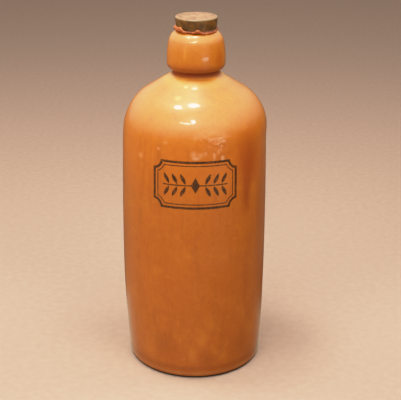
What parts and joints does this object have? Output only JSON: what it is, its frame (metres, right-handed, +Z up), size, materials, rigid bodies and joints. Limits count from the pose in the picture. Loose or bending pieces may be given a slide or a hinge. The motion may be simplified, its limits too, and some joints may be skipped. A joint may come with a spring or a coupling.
{
  "type": "hot water bottle",
  "caption": "Upright glazed stoneware hot water bottle with a domed shoulder and bulb neck, closed by a screw stopper on a rubber sealing ring.",
  "frame": {"origin": "centre of the foot, on the surface that the bottle stands on", "axes": "+Z up the bottle's axis, -Y towards the front that carries the printed mark"},
  "size_m": [0.112, 0.112, 0.2753],
  "materials": {
    "glazed_stoneware": "glossy orange-tan salt glaze over stoneware",
    "red_rubber": "perished matt rubber",
    "vulcanite": "moulded hard rubber, faded on top"
  },
  "bodies": {
    "bottle": {"bottle": "glazed_stoneware"},
    "seal": {"sealing_ring": "red_rubber"},
    "stopper": {"stopper": "vulcanite"}
  },
  "joints": [
    {"name": "stopper_lift", "type": "slide", "parent": "bottle", "child": "seal", "axis": [0, 0, 1], "range_m": [0, 0.0325]},
    {"name": "stopper_turn", "type": "hinge", "parent": "seal", "child": "stopper", "pos_m": [0, 0, 0.2685], "axis": [0, 0, 1], "range_deg": [0, 1800]}
  ],
  "couplings": [
    {"joint": "stopper_lift", "follows": "stopper_turn", "m_per_rad": 0.0010345}
  ]
}
